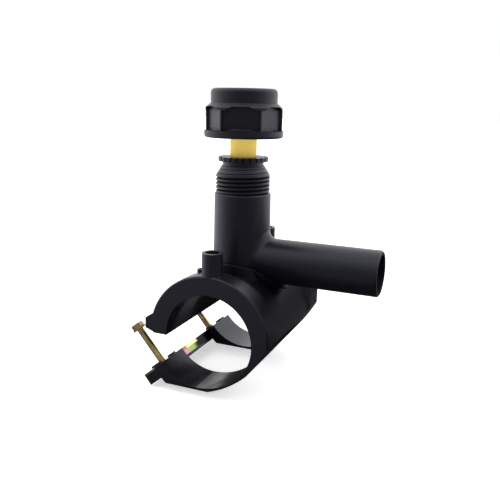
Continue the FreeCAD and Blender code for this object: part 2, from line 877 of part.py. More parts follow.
def nut(end):
    body = new_body(f"nut_{end}")
    extrude(body, "Pad", f"nut_block_{end}",
            hexagon(body, f"nut_flats_{end}", "XY_Plane", S.head_flats), S.nut_height)
    extrude(body, "Pocket", f"nut_bore_{end}",
            circle(body, f"nut_round_{end}", "XY_Plane", S.bolt_radius + S.bolt_clearance / 2),
            (S.nut_height + S.past) * 2, "Symmetric")
    return place(body, along_bolt(-core_top, end), "bolt")


def cutter():
    """Punch that is wound down through the pipe wall, with a hexagon socket in its top."""
    body = new_body("cutter")
    radius = S.stack_bore - S.fit_gap
    side = [
        (S.punch_bore, 0),
        (radius, 0),
        (radius, S.cutter_length - S.cutter_bevel),
        (radius - S.cutter_bevel, S.cutter_length),
        (0, S.cutter_length),
        (0, S.punch_depth + S.punch_cone),
        (S.punch_bore, S.punch_depth),
    ]
    turn(body, "Revolution", "punch", outline(body, "punch_side", "XZ_Plane", side))
    socket = hexagon(body, "socket_flats", "XY_Plane", S.socket_flats, (0, 0, S.cutter_length))
    extrude(body, "Pocket", "socket", socket, S.socket_depth)
    return place(body, (0, 0, cutter_base))


seal_reach = S.seal_thickness / 2
seal_middle = S.cap_height - S.cap_roof - S.seal_proud + seal_reach
grip_top = S.cap_flange_height + S.cap_grip_height


def cap_turned():
    """The cap's round form, with its seat at zero."""
    body = new_body("cap_turned")
    roof = S.cap_height - S.cap_roof
    groove_half = seal_reach + S.fit_gap
    corner = S.cap_flange_round
    side = [
        (S.cap_bore, 0),
        (S.cap_flange_radius - corner, 0), Bend(corner),
        (S.cap_flange_radius, corner),
        (S.cap_flange_radius, S.cap_flange_height),
        (S.cap_grip_radius, S.cap_flange_height),
        (S.cap_grip_radius, grip_top),
        (S.cap_drum_radius, grip_top + S.cap_cone_height),
        (S.cap_drum_radius, S.cap_height - S.cap_round), Bend(S.cap_round),
        (S.cap_drum_radius - S.cap_round, S.cap_height),
        (0, S.cap_height),
        (0, roof),
        (S.seal_radius - groove_half, roof),
        (S.seal_radius - groove_half, seal_middle + groove_half),
        (S.seal_radius + groove_half, seal_middle + groove_half),
        (S.seal_radius + groove_half, roof),
        (S.cap_bore, roof),
    ]
    turn(body, "Revolution", "cap_round_shape", outline(body, "cap_side", "XZ_Plane", side))
    return body


def grip_pockets():
    """What the grip's six facets leave out: flat floors between narrow ridges, with sloping ends."""
    body = new_body("grip_pockets")
    body.AllowCompound = True
    low = S.cap_flange_height
    high = grip_top - S.facet_ledge
    ridge = 180 / GRIP_FACETS - S.ridge_half_angle
    beyond = S.cap_flange_radius + S.cap_flange_height
    floor_half = S.facet_distance * sine(ridge) / cosine(ridge)
    plan = [
        (S.facet_distance, -floor_half),
        (beyond * cosine(ridge), -beyond * sine(ridge)),
        (beyond * cosine(ridge), beyond * sine(ridge)),
        (S.facet_distance, floor_half),
    ]
    pocket = extrude(body, "Pad", "first_facet", outline(body, "facet_plan", "XY_Plane", plan, (0, 0, low)),
                     high - low)
    repeat_round(body, "facets", pocket, GRIP_FACETS)
    ramp_top = low + S.facet_ramp_height
    ramp = [
        (0, low - S.past),
        (beyond + S.past, low - S.past),
        (beyond + S.past, low),
        (S.facet_ramp_end, low),
        (S.facet_ramp_start, ramp_top),
        (0, ramp_top),
    ]
    turn(body, "Groove", "facet_ramps", outline(body, "ramp_side", "XZ_Plane", ramp))
    drop = S.facet_corner_end - S.facet_corner_start
    corner = [
        (0, high),
        (S.facet_corner_start, high),
        (S.facet_corner_end, high - drop),
        (beyond + S.past, high - drop),
        (beyond + S.past, high + S.past),
        (0, high + S.past),
    ]
    turn(body, "Groove", "facet_corners", outline(body, "corner_side", "XZ_Plane", corner))
    return body


def cap():
    """Screw cap with a six-sided grip, lifted to where it stands on the cutter."""
    whole = cut("cap", cap_turned(), grip_pockets())
    spin = FreeCAD.Rotation(FreeCAD.Vector(0, 0, 1), S.cap_turn.value)
    whole.Placement = FreeCAD.Placement(FreeCAD.Vector(0, 0, 0), spin)
    bind(whole, "Placement.Rotation.Angle", S.cap_turn)
    bind(whole, "Placement.Base.z", cap_base)
    return whole


def cap_seal():
    """Rubber ring in the cap's roof."""
    ring = doc.addObject("Part::Torus", "cap_seal")
    bind(ring, "Radius1", S.seal_radius)
    bind(ring, "Radius2", seal_reach)
    return place(ring, (0, 0, cap_base + seal_middle))


parts = [saddle_body(), fusion_coil(), clamp_channel(), cutter(), cap(), cap_seal()]
for end in ENDS:
    parts += [terminal_pin(end), indicator_pin(end), bolt(end), washer(end), nut(end)]
doc.recompute()

failed = [item.Name for item in doc.Objects if {"Invalid", "Error"} & set(item.State)]
if failed:
    raise RuntimeError(f"failed objects: {failed}")
for part in parts:
    if part.Shape.isNull() or not part.Shape.isValid() or len(part.Shape.Solids) != 1:
        raise RuntimeError(f"bad shape: {part.Label}, {len(part.Shape.Solids)} solids")

os.makedirs("parts", exist_ok=True)
for part in parts:
    part.Shape.exportStep(f"parts/{part.Label}.step")
    print(part.Label, round(part.Shape.Volume, 1), part.Shape.BoundBox)
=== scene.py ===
# %% [markdown]
# # A tapping saddle for plastic pipe
#
# This fitting is clamped on a plastic main pipe and welded to it by a heating wire in its bore. The brass
# cutter in the upright stack then opens the pipe, and the branch leaves through the outlet at the side.
#
# The imported model brings every solid part at its real size. This lesson adds the camera, the light, the
# finishes and the few forms that a construction model leaves out: the screw threads and the tops of the
# cap's recesses. The solids could be modelled again here, but then they would no longer agree with the
# part file, so they stay as they are.

# %% Load the imported model
import json
import math

import bpy
from mathutils import Matrix, Vector

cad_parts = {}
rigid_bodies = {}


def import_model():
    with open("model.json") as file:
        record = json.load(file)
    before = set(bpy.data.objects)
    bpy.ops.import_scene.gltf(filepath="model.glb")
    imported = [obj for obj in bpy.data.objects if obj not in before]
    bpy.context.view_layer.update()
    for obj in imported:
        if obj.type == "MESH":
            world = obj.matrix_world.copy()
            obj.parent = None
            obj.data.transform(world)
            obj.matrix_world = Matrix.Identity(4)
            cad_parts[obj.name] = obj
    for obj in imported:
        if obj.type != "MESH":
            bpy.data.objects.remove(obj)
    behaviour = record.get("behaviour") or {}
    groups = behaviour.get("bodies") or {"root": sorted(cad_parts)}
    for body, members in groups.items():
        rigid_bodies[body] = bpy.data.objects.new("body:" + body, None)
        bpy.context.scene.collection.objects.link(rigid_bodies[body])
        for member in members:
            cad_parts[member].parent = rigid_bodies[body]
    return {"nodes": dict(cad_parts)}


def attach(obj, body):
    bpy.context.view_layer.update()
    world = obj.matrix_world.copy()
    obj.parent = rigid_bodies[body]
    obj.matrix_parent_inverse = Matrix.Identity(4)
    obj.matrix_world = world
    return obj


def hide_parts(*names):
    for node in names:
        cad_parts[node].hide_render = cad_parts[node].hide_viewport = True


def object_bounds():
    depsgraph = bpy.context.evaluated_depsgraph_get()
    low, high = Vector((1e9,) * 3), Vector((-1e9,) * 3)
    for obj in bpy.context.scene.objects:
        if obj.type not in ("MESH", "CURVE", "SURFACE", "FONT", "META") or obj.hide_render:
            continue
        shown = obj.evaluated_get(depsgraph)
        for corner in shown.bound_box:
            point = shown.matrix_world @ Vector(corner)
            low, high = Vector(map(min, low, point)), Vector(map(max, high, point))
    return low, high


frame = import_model()
cad_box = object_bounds()
nodes = frame["nodes"]
# Blender counts in metres, and the part's own sizes are stated in millimetres
MM = 0.001
print("nodes:", sorted(nodes))

# %% [markdown]
# ## The camera
#
# The photograph looks at the saddle from the front right and a little from above, with the camera held
# slightly off level. It could be turned by eye until the picture fits. Here its direction, distance and
# lens were worked out from the straight edges and the circles of the object, so they are real angles and
# sizes, and the part's own sizes can be read from the same picture.

# %% Set the camera
CAMERA_AZIMUTH = math.radians(22.8)
CAMERA_PITCH = math.radians(13.67)
CAMERA_ROLL = math.radians(1.15)
CAMERA_DISTANCE = 443.95 * MM
CAMERA_TARGET = Vector((6.55, 0, 52.05)) * MM
PHOTO_WIDTH = 500
FOCAL_PIXELS = 607.6
SENSOR_WIDTH = 36
NEAREST_SEEN = 10 * MM

back = Vector((math.sin(CAMERA_AZIMUTH) * math.cos(CAMERA_PITCH),
               -math.cos(CAMERA_AZIMUTH) * math.cos(CAMERA_PITCH),
               math.sin(CAMERA_PITCH)))
right = Vector((0, 0, 1)).cross(back).normalized()
up = back.cross(right)
rolled_right = right * math.cos(CAMERA_ROLL) + up * math.sin(CAMERA_ROLL)
rolled_up = up * math.cos(CAMERA_ROLL) - right * math.sin(CAMERA_ROLL)
turn = Matrix((rolled_right, rolled_up, back)).transposed()
bpy.ops.object.camera_add(location=CAMERA_TARGET + back * CAMERA_DISTANCE, rotation=turn.to_euler())
camera = bpy.context.object
camera.name = "photo_camera"
camera.data.sensor_width = SENSOR_WIDTH
camera.data.lens = FOCAL_PIXELS / PHOTO_WIDTH * SENSOR_WIDTH
camera.data.clip_start = NEAREST_SEEN
bpy.context.scene.camera = camera
print("lens", round(camera.data.lens, 2), "mm")

# %% [markdown]
# ## Tools for finishes
#
# A finish is a small network of nodes. It could be wired by hand in the shader editor, but written out it
# can be read, changed and made again. A screen colour is not proportional to light, so one function turns
# its hex value into the linear numbers that light adds up in. Another adds a node with its settings, its
# links and, on a colour ramp, its stops.


# %% Colours and nodes
def linear(colour):
    """An sRGB hex value as linear red, green, blue and alpha."""
    parts = [int(colour[i:i + 2], 16) / 255 for i in (1, 3, 5)]
    # the sRGB standard's own curve: a straight line near black, and a power above it
    return [p / 12.92 if p <= 0.04045 else ((p + 0.055) / 1.055) ** 2.4 for p in parts] + [1]


def add_node(material, kind, inputs=None, stops=(), **settings):
    """A node of a material. An input is a value or another node's output, and a ramp gets its stops."""
    node = material.node_tree.nodes.new(kind)
    for name, value in settings.items():
        setattr(node, name, value)
    for name, value in (inputs or {}).items():
        if isinstance(value, bpy.types.NodeSocket):
            material.node_tree.links.new(value, node.inputs[name])
        else:
            node.inputs[name].default_value = value
    if stops:
        elements = node.color_ramp.elements
        while len(elements) < len(stops):
            elements.new(1.0)
        for element, (position, colour) in zip(elements, stops):
            element.position = position
            element.color = colour
    return node


def new_finish(name):
    """An empty material, and its surface shader."""
    material = bpy.data.materials.new(name)
    material.use_nodes = True
    return material, material.node_tree.nodes["Principled BSDF"]


print("middle grey is", round(linear("#808080")[0], 3), "of white's light")

# %% [markdown]
# ## The studio
#
# Black plastic shows its form by what it mirrors. The photograph looks lit from all round, as through
# white cloth, brightest above and behind and dim towards the camera. Area lights could stand in for it,
# but each would show as a separate patch in the gloss, so a whole tent surrounds the object here, and its
# brightness fades from back to front. A surface seen edge-on mirrors strongly, so each round part gets a
# pale rim on both sides.
#
# The floor is white for the camera. The low parts of the object mirror something darker than that, so the
# floor stays out of reflections and a grey table top, which the camera can't see, takes its place there.


# %% Pale floor and white background
# the studio's own sizes are in metres
FLOOR_DROP = 0.5 * MM
FLOOR_SIDE = 14.0
FLOOR_GLOW = 0.55


def hide_from(piece, *rays):
    """Leave a piece of the studio out of what these kinds of rays meet."""
    for ray in rays:
        setattr(piece, f"visible_{ray}", False)


bpy.ops.object.select_all(action="DESELECT")
lowest = cad_box[0][2]
bpy.ops.mesh.primitive_plane_add(size=FLOOR_SIDE, location=(0, 0, lowest - FLOOR_DROP))
floor = bpy.context.object
floor.name = "studio_floor"
hide_from(floor, "glossy")
floor_paint, floor_shader = new_finish("floor_paint")
floor_shader.inputs["Base Color"].default_value = linear("#f4f4f4")
floor_shader.inputs["Roughness"].default_value = 1.0
floor_shader.inputs["Emission Color"].default_value = linear("#ffffff")
floor_shader.inputs["Emission Strength"].default_value = FLOOR_GLOW
floor.data.materials.append(floor_paint)

# The white surroundings are for the camera alone: the tent does the lighting
world = bpy.context.scene.world or bpy.data.worlds.new("studio")
bpy.context.scene.world = world
world.use_nodes = True
world.node_tree.nodes["Background"].inputs["Color"].default_value = linear("#ffffff")
world.node_tree.nodes["Background"].inputs["Strength"].default_value = 1.0
world.cycles_visibility.glossy = False
world.cycles_visibility.diffuse = False
bpy.context.scene.view_settings.view_transform = "Standard"
print("floor at", round(floor.location.z / MM, 1), "mm")

# %% [markdown]
# ## The tent of light
#
# The tent is a large sphere that only gives light. Its brightness depends on the direction from the
# middle: the more a direction leans towards the camera, the darker the cloth there. The roof counts as
# farther back than it is, which makes it brighter. The shares along the way come from how bright the
# photograph shows the stack, the outlet and the cap from rim to rim.


# %% Hang the tent
def glow_finish(name):
    """A surface that only gives light."""
    material, shader = new_finish(name)
    material.cycles.emission_sampling = "NONE"
    shader.inputs["Base Color"].default_value = linear("#000000")
    shader.inputs["Specular IOR Level"].default_value = 0.0
    shader.inputs["Emission Color"].default_value = linear("#ffffff")
    return material, shader


TENT_RADIUS = 11.0
TENT_SEGMENTS = 64
TENT_RINGS = 32
TENT_FULL = 1.6
ROOF_PULL = 0.55
# towards the camera (1) or away from it (-1), and the share of full brightness there
TENT_STOPS = ((-1.0, 0.9), (-0.33, 0.94), (0.0, 0.74), (0.2, 0.5), (0.42, 0.32), (0.6, 0.23),
              (0.8, 0.15), (1.0, 0.1))
TOWARDS_CAMERA = (math.sin(CAMERA_AZIMUTH), -math.cos(CAMERA_AZIMUTH), 0)

bpy.ops.mesh.primitive_uv_sphere_add(segments=TENT_SEGMENTS, ring_count=TENT_RINGS, radius=TENT_RADIUS,
                                     location=(0, 0, lowest))
tent = bpy.context.object
tent.name = "light_tent"
bpy.ops.object.shade_smooth()
hide_from(tent, "camera", "shadow")
tent_paint, tent_shader = glow_finish("tent_glow")
tent_place = add_node(tent_paint, "ShaderNodeTexCoord").outputs["Object"]
heading = add_node(tent_paint, "ShaderNodeVectorMath", {0: tent_place},
                   operation="NORMALIZE").outputs["Vector"]
forwards = add_node(tent_paint, "ShaderNodeVectorMath", {0: heading, 1: TOWARDS_CAMERA},
                    operation="DOT_PRODUCT").outputs["Value"]
height = add_node(tent_paint, "ShaderNodeSeparateXYZ", {"Vector": heading}).outputs["Z"]
risen = add_node(tent_paint, "ShaderNodeMath", {0: height, 1: 0.0}, operation="MAXIMUM").outputs["Value"]
pulled = add_node(tent_paint, "ShaderNodeMath", {0: risen, 1: -ROOF_PULL, 2: forwards},
                  operation="MULTIPLY_ADD").outputs["Value"]
share = add_node(tent_paint, "ShaderNodeMapRange", {
    "Value": pulled, "From Min": -1.0, "From Max": 1.0}).outputs["Result"]
cloth = add_node(tent_paint, "ShaderNodeValToRGB", {"Fac": share}, stops=[
    ((way + 1) / 2, (level, level, level, 1)) for way, level in TENT_STOPS]).outputs["Color"]
tent_glow = add_node(tent_paint, "ShaderNodeMath", {0: cloth, 1: TENT_FULL}, operation="MULTIPLY")
tent_paint.node_tree.links.new(tent_glow.outputs["Value"], tent_shader.inputs["Emission Strength"])
tent.data.materials.append(tent_paint)
print("tent of", len(TENT_STOPS), "brightness steps")

# %% [markdown]
# ## The table, the card and the front light
#
# The saddle's end face looks straight along the pipe and mirrors the table far out in front of it, where
# the table is lit. The underside of the outlet mirrors the table right below, which is nearly black. Both
# are painted into the table's glow: a painted pool of light far out, and a painted shadow of the saddle
# close to it. A dark card at the far side does the same for the saddle's flank. One large table with the
# right shades could do for all three, but each of them is easier to set by itself.
#
# The cutter and the clamp are the main coloured parts, and they need light that isn't a mirror image. A
# soft lamp gives it and is left out of reflections, because the black parts hardly take it up.

# %% The table top that the low parts mirror
TABLE_RADIUS = 0.42
TABLE_EDGES = 64
TABLE_CENTRE = (0.09, 0.14)
TABLE_DROP = 1 * MM
# the table's glow is painted: lit far out, and a painted shadow of the saddle close to it
TABLE_PAINTED_LIGHT_GLOW = 0.36
TABLE_PAINTED_SHADOW_GLOW = 0.02
# how far out along the end face's mirror direction the glow starts and is full
TABLE_NEAR_START = 0.2
TABLE_NEAR_END = 0.34
END_FACE_MIRRORS = (-math.sin(CAMERA_AZIMUTH), -math.cos(CAMERA_AZIMUTH), 0)

bpy.ops.mesh.primitive_circle_add(vertices=TABLE_EDGES, radius=TABLE_RADIUS, fill_type="NGON",
                                  location=(*TABLE_CENTRE, lowest - FLOOR_DROP - TABLE_DROP))
table = bpy.context.object
table.name = "mirrored_table"
hide_from(table, "camera", "diffuse", "shadow")
table_paint, table_shader = glow_finish("table_glow")
table_place = add_node(table_paint, "ShaderNodeTexCoord").outputs["Object"]
outwards = add_node(table_paint, "ShaderNodeVectorMath", {0: table_place, 1: END_FACE_MIRRORS},
                    operation="DOT_PRODUCT").outputs["Value"]
table_glow = add_node(table_paint, "ShaderNodeMapRange", {
    "Value": outwards, "From Min": TABLE_NEAR_START, "From Max": TABLE_NEAR_END,
    "To Min": TABLE_PAINTED_SHADOW_GLOW, "To Max": TABLE_PAINTED_LIGHT_GLOW})
table_paint.node_tree.links.new(table_glow.outputs["Result"], table_shader.inputs["Emission Strength"])
table.data.materials.append(table_paint)
print("table top of", TABLE_RADIUS, "m")

# %% The dark card beside the flank
CARD_PLACE = (0.235, 0.068)
CARD_WIDTH = 0.4
CARD_TOP = 0.056
CARD_GLOW = 0.14

bpy.ops.mesh.primitive_plane_add(size=1, rotation=(math.radians(90), 0, 0),
                                 location=(*CARD_PLACE, (lowest + CARD_TOP) / 2))
card = bpy.context.object
card.name = "black_card"
card.scale = (CARD_WIDTH, CARD_TOP - lowest, 1)
hide_from(card, "camera", "diffuse", "shadow")
card_paint, card_shader = glow_finish("card_black")
card_shader.inputs["Emission Strength"].default_value = CARD_GLOW
card.data.materials.append(card_paint)
print("card up to", round(CARD_TOP / MM), "mm")

# %% A soft front light for the colours
FRONT_LIGHT_PLACE = Vector((0.45, -1.1, 0.35))
FRONT_LIGHT_AIM = Vector((0, 0, 0.1))
FRONT_LIGHT_SIDE = 0.9
FRONT_LIGHT_POWER = 3.2

facing = (FRONT_LIGHT_AIM - FRONT_LIGHT_PLACE).to_track_quat("-Z", "Y").to_euler()
bpy.ops.object.light_add(type="AREA", location=FRONT_LIGHT_PLACE, rotation=facing)
front_light = bpy.context.object
front_light.name = "front_light"
front_light.data.shape = "SQUARE"
front_light.data.size = FRONT_LIGHT_SIDE
front_light.data.energy = FRONT_LIGHT_POWER
hide_from(front_light, "camera", "glossy")
print("front light of", FRONT_LIGHT_POWER, "W")

# %% [markdown]
# ## Moulded polyethylene
#
# The body and the cap are black polyethylene, injection moulded in a spark-eroded steel mould. That leaves
# an even satin skin with a fine grain, long shallow waves where the thick wall sank as it cooled, and a
# slightly uneven gloss. Black pigment leaves almost no colour, so the look is all gloss, with the bluish
# cast that the photograph shows.
#
# The sharp edges of a mould are rounded by a fraction of a millimetre. Real fillets on every edge would
# cost many faces, so the shader rounds them: the Bevel node turns the normals near an edge.

# %% Finish: black polyethylene
# typical of polyethylene
POLYETHYLENE_IOR = 1.51
# the real grain is about 0.1 mm, too fine to show in this picture, so it is drawn coarser
GRAIN_MM = 0.35
GRAIN_DEPTH_MM = 0.05
GRAIN_DETAIL = 2
SINK_WAVE_MM = 14
SINK_DEPTH_MM = 0.6
SINK_STRENGTH = 0.25
SINK_DETAIL = 3
# how much smoother and rougher the skin gets along the waves
SKIN_SMOOTHER = 0.05
SKIN_ROUGHER = 0.06
EDGE_MM = 0.45
EDGE_RAYS = 6
PLAIN_MIRROR = 0.5
GLOSS_TINT = "#eaedff"


def polyethylene(name, colour, roughness, grain, edge=EDGE_MM, mirror=PLAIN_MIRROR):
    """Moulded plastic, from its mean roughness, the strength of its grain and how far its edges round."""
    material, shader = new_finish(name)
    place = add_node(material, "ShaderNodeTexCoord").outputs["Object"]
    sink = add_node(material, "ShaderNodeTexNoise", {
        "Vector": place, "Scale": 1 / (SINK_WAVE_MM * MM), "Detail": SINK_DETAIL}).outputs["Fac"]
    gloss = add_node(material, "ShaderNodeMapRange", {
        "Value": sink, "To Min": roughness - SKIN_SMOOTHER, "To Max": roughness + SKIN_ROUGHER})
    rounded = add_node(material, "ShaderNodeBevel", {"Radius": edge * MM}, samples=EDGE_RAYS)
    fine = add_node(material, "ShaderNodeTexNoise", {
        "Vector": place, "Scale": 1 / (GRAIN_MM * MM), "Detail": GRAIN_DETAIL}).outputs["Fac"]
    waves = add_node(material, "ShaderNodeBump", {
        "Height": sink, "Strength": SINK_STRENGTH, "Distance": SINK_DEPTH_MM * MM,
        "Normal": rounded.outputs["Normal"]})
    skin = add_node(material, "ShaderNodeBump", {
        "Height": fine, "Strength": grain, "Distance": GRAIN_DEPTH_MM * MM,
        "Normal": waves.outputs["Normal"]})
    links = material.node_tree.links
    links.new(gloss.outputs["Result"], shader.inputs["Roughness"])
    links.new(skin.outputs["Normal"], shader.inputs["Normal"])
    shader.inputs["Base Color"].default_value = linear(colour)
    shader.inputs["IOR"].default_value = POLYETHYLENE_IOR
    shader.inputs["Specular IOR Level"].default_value = mirror
    shader.inputs["Specular Tint"].default_value = linear(GLOSS_TINT)
    return material


# the body's satin skin draws every form with a soft pale rim
body_polyethylene = polyethylene("body_polyethylene", "#06060d", roughness=0.36, grain=0.25, edge=0.3)
# the cap looks a little duller than the body, as from a rougher mould
cap_polyethylene = polyethylene("cap_polyethylene", "#07070d", roughness=0.42, grain=0.3, edge=0.2)
# the bore and the strap's inner side mirror like dark glass, so they are taken as moulded on a polished
# core, which is a guess from the photograph
bore_polyethylene = polyethylene("bore_polyethylene", "#040408", roughness=0.2, grain=0.08)
# painted shade: so narrow a groove hardly darkens by itself at this size, so the floors of the thread's
# grooves and of the collar's notches are painted darker and mirror less
groove_painted_shade = polyethylene("groove_painted_shade", "#040408", roughness=0.7, grain=0.2, mirror=0.08)
# the seal is moulded rubber: dull, and black without the bluish cast of the body's colour
seal_rubber = polyethylene("seal_rubber", "#101010", roughness=0.6, grain=0.2)
print("grain of", GRAIN_MM, "mm on waves of", SINK_WAVE_MM, "mm")

# %% [markdown]
# ## Brass and copper
#
# The cutter is turned brass with a satin surface. The photograph shows it pale and almost matt, because
# white cloth lights it evenly from all round, so most of its colour is given as plain colour and only a
# part as metal. The contact pins are bright drawn brass, and the heating wire is bare copper.
#
# Each could have its tool marks drawn as lines. At this size the eye gets only a gloss that changes
# faintly from place to place, so one function makes all three from the size of those places.

# %% Finish: brass and copper
# real tool marks are about a tenth of a millimetre apart, too fine to show here, so they are drawn coarser
CUTTER_MARK_MM = 4
DRAWN_MARK_MM = 2
MARK_DETAIL = 3
# how much smoother and rougher the metal gets from mark to mark
MARK_SMOOTHER = 0.05
MARK_ROUGHER = 0.08


def bare_metal(name, colour, roughness, mark_mm, metallic=1.0):
    """Bare metal, from its mean roughness and the size of its faint tool marks."""
    material, shader = new_finish(name)
    place = add_node(material, "ShaderNodeTexCoord").outputs["Object"]
    marks = add_node(material, "ShaderNodeTexNoise", {
        "Vector": place, "Scale": 1 / (mark_mm * MM), "Detail": MARK_DETAIL})
    gloss = add_node(material, "ShaderNodeMapRange", {
        "Value": marks.outputs["Fac"], "To Min": roughness - MARK_SMOOTHER,
        "To Max": roughness + MARK_ROUGHER})
    material.node_tree.links.new(gloss.outputs["Result"], shader.inputs["Roughness"])
    shader.inputs["Base Color"].default_value = linear(colour)
    shader.inputs["Metallic"].default_value = metallic
    return material


# the cutter is a pale soft yellow, the one light tone between the black parts
cutter_brass = bare_metal("cutter_brass", "#f6d76c", roughness=0.6, mark_mm=CUTTER_MARK_MM, metallic=0.25)
# drawn brass is smoother than turned brass, so the pins glint in their dark sockets
pin_brass = bare_metal("pin_brass", "#d8b468", roughness=0.3, mark_mm=DRAWN_MARK_MM)
# bare copper wire has dulled a little, and its red-brown shows where the bore is seen from below
coil_copper = bare_metal("coil_copper", "#b87446", roughness=0.4, mark_mm=DRAWN_MARK_MM)
print("tool marks of", CUTTER_MARK_MM, "and", DRAWN_MARK_MM, "mm")

# %% [markdown]
# ## Yellow zinc
#
# The clamp's steel parts are zinc plated and yellow passivated. The thin chromate film is gold, with
# clouds of rose and green where it is thicker, as on a soap bubble. A thin-film shader could work the
# colours out from a thickness, but matching a photograph is easier with the colours themselves, so a
# slow noise picks them from a short list.
#
# On the channel's inner flange the photograph shows clear bands of them along the flange, between its
# dark ends. Those dark ends are painted: they stand in for the shade in the narrow gap between the parts and
# for the black plastic that the zinc mirrors there. The pale stripe on the flange's tab is a painted
# highlight, the white studio mirrored. There the place along the channel picks the colour, and the noise
# only makes the bands wander a little.

# %% Finish: yellow zinc
FILM_PATCH_MM = 16
FILM_DETAIL = 2
FILM_WARP = 0.8
# zinc is rubbed dull in specks far smaller than this, which are drawn coarser so that they show
SCUFF_MM = 2
SCUFF_DETAIL = 3
# the roughness of the bright zinc and of the specks
ZINC_SMOOTH = 0.16
ZINC_ROUGH = 0.34
# the noise's value and the film's colour there
ZINC_STOPS = ((0.3, "#c8b478"), (0.45, "#dccb96"), (0.57, "#d0b47c"), (0.67, "#bf988e"), (0.8, "#a0aa84"))


def yellow_zinc(name, bands=None):
    """Zinc plate under a chromate film. A second function may lay bands and painted light over the film's
    colour.
    """
    material, shader = new_finish(name)
    place = add_node(material, "ShaderNodeTexCoord").outputs["Object"]
    film = add_node(material, "ShaderNodeTexNoise", {
        "Vector": place, "Scale": 1 / (FILM_PATCH_MM * MM), "Detail": FILM_DETAIL,
        "Distortion": FILM_WARP}).outputs["Fac"]
    colour = add_node(material, "ShaderNodeValToRGB", {"Fac": film}, stops=[
        (value, linear(hue)) for value, hue in ZINC_STOPS]).outputs["Color"]
    if bands:
        colour = bands(material, place, film, colour)
    scuffs = add_node(material, "ShaderNodeTexNoise", {
        "Vector": place, "Scale": 1 / (SCUFF_MM * MM), "Detail": SCUFF_DETAIL})
    gloss = add_node(material, "ShaderNodeMapRange", {
        "Value": scuffs.outputs["Fac"], "To Min": ZINC_SMOOTH, "To Max": ZINC_ROUGH})
    material.node_tree.links.new(gloss.outputs["Result"], shader.inputs["Roughness"])
    material.node_tree.links.new(colour, shader.inputs["Base Color"])
    shader.inputs["Metallic"].default_value = 1.0
    return material


# %% Finish: the bands, the painted shade and the painted highlight on the channel's inner flange
CLAMP_CENTRE = (-43.2, -35)
CLAMP_TILT = math.radians(49.5)
CLAMP_UP = Vector((-math.cos(CLAMP_TILT), 0, math.sin(CLAMP_TILT)))
CLAMP_ACROSS = Vector((math.sin(CLAMP_TILT), 0, math.cos(CLAMP_TILT)))
# the flange starts this far across from the clamp's centre, and its tab this far up
FLANGE_START_MM = 5.4
TAB_FOOT_MM = 2.4
BAND_WANDER_MM = 5.5
BAND_REACH_MM = 30
# along the channel, in millimetres: painted shade at the end, rose and green film, then painted shade again
FLANGE_FILM_AND_SHADE_STOPS = ((-22, "#1b1916"), (-19, "#c9a25e"), (-15, "#c98ba0"), (-10, "#cf93a6"), (-6, "#9db070"),
                (1, "#93ab62"), (4, "#4a4a2c"), (6, "#151412"))
# on the tab: painted shade at both ends, dim gold, then a painted highlight of the white studio in the
# middle
TAB_SHADE_AND_HIGHLIGHT_STOPS = ((-22, "#1b1916"), (-18, "#8f7a44"), (-9, "#a58c50"), (-7, "#efe0a8"), (7, "#efe0a8"),
             (9, "#171512"))


def flange_film_and_painted_light(material, place, film, colour):
    """The flange's film bands between painted shade, its tab's painted highlight, and the given colour
    elsewhere.
    """
    centre = (CLAMP_CENTRE[0] * MM, 0, CLAMP_CENTRE[1] * MM)
    local = add_node(material, "ShaderNodeVectorMath", {0: place, 1: centre},
                     operation="SUBTRACT").outputs["Vector"]
    across = add_node(material, "ShaderNodeVectorMath", {0: local, 1: CLAMP_ACROSS},
                      operation="DOT_PRODUCT").outputs["Value"]
    raised = add_node(material, "ShaderNodeVectorMath", {0: local, 1: CLAMP_UP},
                      operation="DOT_PRODUCT").outputs["Value"]
    along = add_node(material, "ShaderNodeSeparateXYZ", {"Vector": place}).outputs["Y"]
    wander = add_node(material, "ShaderNodeMath", {0: film, 1: BAND_WANDER_MM * MM, 2: along},
                      operation="MULTIPLY_ADD").outputs["Value"]
    share = add_node(material, "ShaderNodeMapRange", {
        "Value": wander, "From Min": -BAND_REACH_MM * MM,
        "From Max": BAND_REACH_MM * MM}).outputs["Result"]
    flange, tab = [
        add_node(material, "ShaderNodeValToRGB", {"Fac": share}, stops=[
            ((way + BAND_REACH_MM) / (2 * BAND_REACH_MM), linear(hue)) for way, hue in colours
        ]).outputs["Color"]
        for colours in (FLANGE_FILM_AND_SHADE_STOPS, TAB_SHADE_AND_HIGHLIGHT_STOPS)]
    on_tab = add_node(material, "ShaderNodeMath", {0: raised, 1: TAB_FOOT_MM * MM},
                      operation="GREATER_THAN").outputs["Value"]
    on_flange = add_node(material, "ShaderNodeMath", {0: across, 1: FLANGE_START_MM * MM},
                         operation="GREATER_THAN").outputs["Value"]
    # the tab takes the painted highlight, the rest of the flange takes the film's bands between painted
    # shade
    banded = add_node(material, "ShaderNodeMixRGB", {0: on_tab, 1: flange, 2: tab}).outputs["Color"]
    return add_node(material, "ShaderNodeMixRGB", {0: on_flange, 1: colour, 2: banded}).outputs["Color"]


# the bolts, washers and nuts are gold with a hint of rose, and mirror the studio softly
zinc = yellow_zinc("yellow_zinc")
# the channel has the same film, and its inner flange gets bands between painted shade and a painted
# highlight
channel_zinc_and_painted_light = yellow_zinc("channel_zinc_and_painted_light", bands=flange_film_and_painted_light)
print("film colours:", len(ZINC_STOPS), "and in the flange's bands", len(FLANGE_FILM_AND_SHADE_STOPS))

# %% [markdown]
# ## Painting the imported parts
#
# Every imported part gets the finish of its real material. Most of the saddle's skin is satin, but the bore
# and the strap's inner side mirror clearly. The floors of the thread's grooves and of the collar's notches
# lie in shadow, and there the shade is painted: their finish is darker and mirrors less. Those faces could
# be cut off as pieces of their own. A mesh can hold several finishes instead, with a number on each face, so
# the faces are found by where they lie and keep their shape.

